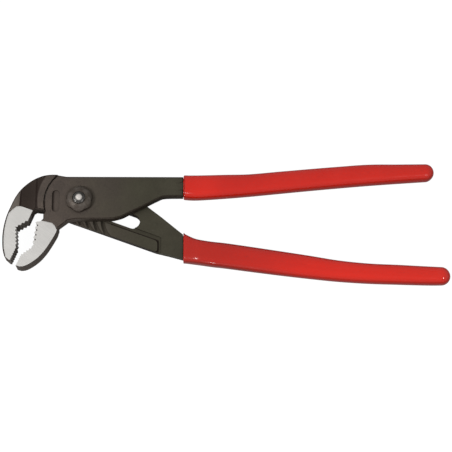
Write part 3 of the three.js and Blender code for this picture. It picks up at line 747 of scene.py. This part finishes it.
def coat_finish(coat):
    """Glossy dipped vinyl with long soft waves, faint scuffs and deeper colour where it is thick, painted
    shade along the sides and at the lower grip's neck, and painted light along the far halves and at the
    upper grip's mouth.
    """
    finish = Finish("dipped_vinyl")
    sag = finish.noise(32 * MM, 2.0, 0.4)
    cloud = finish.noise(9 * MM, 3.0, 0.5)
    skin = finish.noise(1.6 * MM, 2.0, 0.5)
    fine = finish.noise(0.35 * MM, 2.0, 0.5)
    handled = finish.noise(14 * MM, 5.0, 0.7)
    drawn = finish.stretched(*GRIP_GRAIN)
    scratch = finish.noise(0.6 * MM, 2.0, 0.7, drawn).ramp(0.66, 0.76) * handled.ramp(0.45, 0.62)

    # Parts of the grips: the lower one, each one's sides, which get painted shade, and the places along them,
    # which get painted shade at the lower neck and painted light at the mouth and along the far halves
    lower = finish.y < LOWER_GRIP_Y
    turned = (lower + (finish.facing("Y") < 0.0)).clamped()
    side = 1 - finish.upright.ramp(0.2, turned * 0.2 + 0.75)
    neck = (1 - finish.x.ramp(*NECK_X)) * lower
    mouth = 1 - finish.x.ramp(*GRIP_MOUTH_X)
    ends = finish.x.ramp(*GRIP_ENDS_X)
    # Painted light along the far halves and at the upper grip's mouth
    pale = finish.x.ramp(*FAR_X) * (lower * 0.7 + (1 - lower) * 0.2) + mouth * (1 - lower) * 0.4

    tone = sag.ramp(0.35, 0.68) * 0.5 + cloud.ramp(0.35, 0.7) * 0.22 + fine.ramp(0.3, 0.7) * 0.1
    colour = finish.mix(pale, finish.mix(tone, coat.red, coat.deep_red), coat.pale_red)
    waves = (sag - 0.5) * 3.0 + (cloud - 0.5) * 0.7 + (skin - 0.5) * 0.12
    relief = waves * (1 - ends) * (1 - mouth * 0.85) + fine * 0.02 - scratch * 0.03
    return finish.surface(
        # Painted shade along the sides and at the lower grip's neck
        Base_Color=finish.mix(side * 0.75 + neck * 0.48, colour, coat.shaded_red),
        Roughness=(0.13 + handled.ramp(0.4, 0.75) * 0.07 + scratch * 0.12 + fine * 0.03) * (1 - ends * 0.7),
        Normal=finish.bump(relief, depth=0.14 * MM),
        Specular_IOR_Level=0.3,
    )


def rounding_group():
    """Joins the facets of a CAD node and shades them smooth wherever they meet at a shallow angle."""
    found = bpy.data.node_groups.get("rounded_shading")
    if found:
        return found
    group = bpy.data.node_groups.new("rounded_shading", "GeometryNodeTree")
    for way in ("INPUT", "OUTPUT"):
        group.interface.new_socket("Geometry", in_out=way, socket_type="NodeSocketGeometry")
    nodes = Nodes(group)
    start = nodes.node("NodeGroupInput")
    plain = nodes.node("GeometryNodeRemoveAttribute", None, {"Geometry": start, "Name": "custom_normal"})
    weld = nodes.node("GeometryNodeMergeByDistance", None, {"Geometry": plain, "Distance": WELD})
    smooth = nodes.node("GeometryNodeSetShadeSmooth", {"domain": "FACE"}, {"Geometry": weld})
    angle = nodes.node("GeometryNodeInputMeshEdgeAngle", output="Unsigned Angle")
    settings = {"data_type": "FLOAT", "operation": "GREATER_THAN"}
    sharp = nodes.node("FunctionNodeCompare", settings, {"A": angle, "B": CREASE})
    inputs = {"Geometry": smooth, "Selection": sharp, "Shade Smooth": False}
    creased = nodes.node("GeometryNodeSetShadeSmooth", {"domain": "EDGE"}, inputs)
    nodes.node("NodeGroupOutput", None, {"Geometry": creased})
    return group


def round_edges(node, radius):
    """Smooth shading, a fine radius on the sharp edges, and normals that keep the flats flat."""
    shading = node.modifiers.new("Rounded shading", "NODES")
    shading.node_group = rounding_group()
    edge = node.modifiers.new("Fine edge radius", "BEVEL")
    edge.width = radius
    edge.segments = 2
    edge.limit_method = "ANGLE"
    edge.angle_limit = CREASE
    edge.use_clamp_overlap = True
    flats = node.modifiers.new("Flats stay flat", "WEIGHTED_NORMAL")
    flats.keep_sharp = True
    flats.weight = 80


def refinish(name, material, radius):
    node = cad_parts[name]
    for place in node.material_slots:
        place.material = material
    round_edges(node, radius)


def smooth_through(values, share):
    """A curve through every value, at a share of the way along them."""
    last = len(values) - 1
    row = min(int(share * last), last - 1)
    t = share * last - row
    before, here = values[max(row - 1, 0)], values[row]
    there, beyond = values[row + 1], values[min(row + 2, last)]
    return 0.5 * (2 * here + (there - before) * t + (2 * before - 5 * here + 4 * there - beyond) * t * t
                  + (3 * here - before - 3 * there + beyond) * t ** 3)


def held(values, row):
    """The value of a row, or the last one for the rows beyond it."""
    return values[min(row, len(values) - 1)]


def grip_rings(grip, coat):
    """Rings of the grip's outside, from its mouth to its rounded end: centre and section."""
    stations = grip["stations"]
    x0, y0, z0 = grip["start"]
    columns = [
        [x0 + along * grip["length"] for along, _, _ in stations],
        [y0 + rise * grip["rise"] for _, rise, _ in stations],
        [z0 + held(grip["levels"], row) * (LAP_LEVEL - z0) for row in range(len(stations))],
        [half * coat.half_width for _, _, half in stations],
        [held(grip["thicks"], row) * coat.half_thickness for row in range(len(stations))],
        [held(grip["fullness"], row) for row in range(len(stations))],
    ]
    count = (len(stations) - 1) * coat.rows
    body = [[smooth_through(column, ring / count) for column in columns] for ring in range(count + 1)]
    (x, y, z, half, thick, fullness), before = body[-1], body[-2]
    heading = math.atan2(y - before[1], x - before[0])
    for step in range(1, END_RINGS + 1):
        angle = step * math.pi / 2 / (END_RINGS + END_GAP)
        out, shrink = half * math.sin(angle), math.cos(angle)
        body.append([x + out * math.cos(heading), y + out * math.sin(heading), z, half * shrink,
                     thick * shrink, fullness + (2 - fullness) * step / END_RINGS])
    return body


def section(ring, sides, inset=0.0, shift=0.0):
    """Points of one ring: a rounded oblong whose corners grow tighter as its fullness rises."""
    x, y, z, half, thick, fullness = ring
    half, thick = max(half - inset, LEAST_HALF), max(thick - inset, LEAST_HALF)
    points = []
    for side in range(sides):
        angle = math.tau * side / sides
        c, s = math.cos(angle), math.sin(angle)
        across = half * math.copysign(abs(c) ** (2 / fullness), c)
        up = thick * math.copysign(abs(s) ** (2 / fullness), s)
        points.append((x + shift, y + across, z + up))
    return points


def grip_loops(grip, coat):
    """Loops of points along a dipped grip: out through the inside, round the rolled lip at the mouth, and
    along the outside to the end."""
    rings = grip_rings(grip, coat)
    loops = [section(rings[row], coat.sides, coat.wall)
             for row in range(len(rings) - END_RINGS - 1, 0, -INSIDE_STRIDE)]
    for step in range(LIP_STEPS + 1):
        angle = math.pi * step / LIP_STEPS
        inset = coat.lip * (1 + math.cos(angle))
        shift = coat.lip * (1 - math.sin(angle))
        loops.append(section(rings[0], coat.sides, inset, shift))
    return loops + [section(ring, coat.sides) for ring in rings[1:]]


def tube(name, loops):
    """A closed piece whose skin runs through loops of points."""
    sides = len(loops[0])
    vertices = [point for loop in loops for point in loop]
    faces = []
    for row in range(len(loops) - 1):
        near, far = row * sides, (row + 1) * sides
        for side in range(sides):
            after = (side + 1) % sides
            faces.append((near + side, near + after, far + after, far + side))
    faces.append(tuple(reversed(range(sides))))
    faces.append(tuple(range(len(vertices) - sides, len(vertices))))
    mesh = bpy.data.meshes.new(name)
    mesh.from_pydata(vertices, [], faces)
    mesh.shade_smooth()
    mesh.validate()
    piece = bpy.data.objects.new(name, mesh)
    bpy.context.scene.collection.objects.link(piece)
    return piece


def make_floor(scene):
    """A pale floor that the camera sees as white, with the tool's shadow on it."""
    finish = Finish("pale_floor")
    seen = finish.node("ShaderNodeLightPath", output="Is Camera Ray")
    matt = finish.node("ShaderNodeBsdfDiffuse", None, {"Color": FLOOR_GREY})
    white = finish.node("ShaderNodeEmission", None, {"Color": WHITE, "Strength": FLOOR_WHITE})
    mixed = finish.node("ShaderNodeMixShader", None, [seen * FLOOR_SHARE, matt, white])
    mesh = bpy.data.meshes.new("floor")
    corners = [(x * FLOOR_REACH, y * FLOOR_REACH, 0) for x, y in ((-1, -1), (1, -1), (1, 1), (-1, 1))]
    mesh.from_pydata(corners, [], [(0, 1, 2, 3)])
    floor = bpy.data.objects.new("floor", mesh)
    floor.data.materials.append(finish.shown(mixed))
    scene.collection.objects.link(floor)
    floor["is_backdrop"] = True


def make_surround(scene, stage):
    """White behind the tool and in its reflections, and an even, weaker light on all else."""
    world = bpy.data.worlds.new("studio_surround")
    scene.world = world
    world.use_nodes = True
    nodes = Nodes(world.node_tree)
    seen = nodes.node("ShaderNodeLightPath", output="Is Camera Ray")
    for kind in ("Is Glossy Ray", "Is Transmission Ray"):
        seen = seen.larger(nodes.node("ShaderNodeLightPath", output=kind))
    even = nodes.node("ShaderNodeBackground", None, {"Color": WHITE, "Strength": stage.sky})
    white = nodes.node("ShaderNodeBackground", None, {"Color": WHITE, "Strength": 1.0})
    mixed = nodes.node("ShaderNodeMixShader", None, [seen, even, white])
    nodes.node("ShaderNodeOutputWorld", None, {"Surface": mixed})


def make_lamps(scene, stage):
    for name, power, size, place in LAMPS:
        light = bpy.data.lights.new(name, "AREA")
        light.shape = "DISK"
        light.size = size
        light.energy = getattr(stage, power)
        lamp = bpy.data.objects.new(name, light)
        lamp.location = place
        lamp.rotation_euler = (Vector(stage.aim) - Vector(place)).to_track_quat("-Z", "Y").to_euler()
        scene.collection.objects.link(lamp)


def make_camera(scene, stage):
    camera_data = bpy.data.cameras.new("camera")
    camera_data.sensor_width = SENSOR_WIDTH
    camera_data.lens = stage.focal
    camera = bpy.data.objects.new("camera", camera_data)
    back = Vector((0, -math.sin(stage.tilt), math.cos(stage.tilt)))
    camera.location = Vector(stage.aim) + back * stage.distance
    camera.rotation_euler = (stage.tilt, 0, 0)
    scene.collection.objects.link(camera)
    scene.camera = camera


class PLIERS_OT_finish_levers(bpy.types.Operator):
    """Give the two forged levers their phosphate, rubbed edges with painted highlights, dirt, painted shade
    and ground flats
    """

    bl_idname = "pliers.finish_levers"
    bl_label = "Finish the levers"

    def execute(self, context):
        steel = context.scene.pliers_steel
        material = lever_finish(steel)
        for name in ("rear_lever_forging", "front_lever_forging"):
            refinish(name, material, steel.edge_round)
        return {"FINISHED"}


class PLIERS_OT_finish_pivot(bpy.types.Operator):
    """Give the nut its phosphate and the bolt its bright peened end"""

    bl_idname = "pliers.finish_pivot"
    bl_label = "Finish the bolt and nut"

    def execute(self, context):
        steel = context.scene.pliers_steel
        refinish("pivot_nut", nut_finish(steel), steel.edge_round)
        refinish("pivot_bolt", bolt_finish(steel), steel.edge_round)
        return {"FINISHED"}


class PLIERS_OT_dip_grips(bpy.types.Operator):
    """Make the two dipped grips round the handles"""

    bl_idname = "pliers.dip_grips"
    bl_label = "Dip the grips"

    def execute(self, context):
        coat = context.scene.pliers_coat
        material = coat_finish(coat)
        for name, grip, node, body in (
            ("rear_dipped_grip", REAR_GRIP, "rear_grip_sleeve", "rear_lever"),
            ("front_dipped_grip", FRONT_GRIP, "front_grip_sleeve", "front_lever"),
        ):
            piece = tube(name, grip_loops(grip, coat))
            piece.data.materials.append(material)
            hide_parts(node)
            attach(piece, body)
        return {"FINISHED"}


class PLIERS_OT_set_stage(bpy.types.Operator):
    """Set the pale floor, the even surround, the lamps and the camera"""

    bl_idname = "pliers.set_stage"
    bl_label = "Set the stage"

    def execute(self, context):
        scene = context.scene
        stage = scene.pliers_stage
        make_floor(scene)
        make_surround(scene, stage)
        make_lamps(scene, stage)
        make_camera(scene, stage)
        scene.view_settings.view_transform = "Standard"
        return {"FINISHED"}


class PLIERS_PT_panel(bpy.types.Panel):
    """The steps that finish the pliers"""

    bl_idname = "PLIERS_PT_panel"
    bl_label = "Water pump pliers"
    bl_space_type = "VIEW_3D"
    bl_region_type = "UI"
    bl_category = "Pliers"

    def draw(self, context):
        layout = self.layout
        groups = (
            (context.scene.pliers_steel, (PLIERS_OT_finish_levers, PLIERS_OT_finish_pivot)),
            (context.scene.pliers_coat, (PLIERS_OT_dip_grips,)),
            (context.scene.pliers_stage, (PLIERS_OT_set_stage,)),
        )
        for group, operators in groups:
            box = layout.box()
            for name in group.__annotations__:
                box.prop(group, name)
            for operator in operators:
                box.operator(operator.bl_idname)


CLASSES = (
    SteelFinish, GripCoat, StageSetup, PLIERS_OT_finish_levers, PLIERS_OT_finish_pivot, PLIERS_OT_dip_grips,
    PLIERS_OT_set_stage, PLIERS_PT_panel,
)


def register():
    for each in CLASSES:
        bpy.utils.register_class(each)
    bpy.types.Scene.pliers_steel = bpy.props.PointerProperty(type=SteelFinish)
    bpy.types.Scene.pliers_coat = bpy.props.PointerProperty(type=GripCoat)
    bpy.types.Scene.pliers_stage = bpy.props.PointerProperty(type=StageSetup)


def unregister():
    del bpy.types.Scene.pliers_stage
    del bpy.types.Scene.pliers_coat
    del bpy.types.Scene.pliers_steel
    for each in reversed(CLASSES):
        bpy.utils.unregister_class(each)


def main():
    register()
    bpy.ops.pliers.finish_levers()
    bpy.ops.pliers.finish_pivot()
    bpy.ops.pliers.dip_grips()
    bpy.ops.pliers.set_stage()
    boxes = {
        "cad": [list(corner) for corner in cad_box],
        "visual": [list(corner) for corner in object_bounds()],
    }


if __name__ == "__main__":
    main()
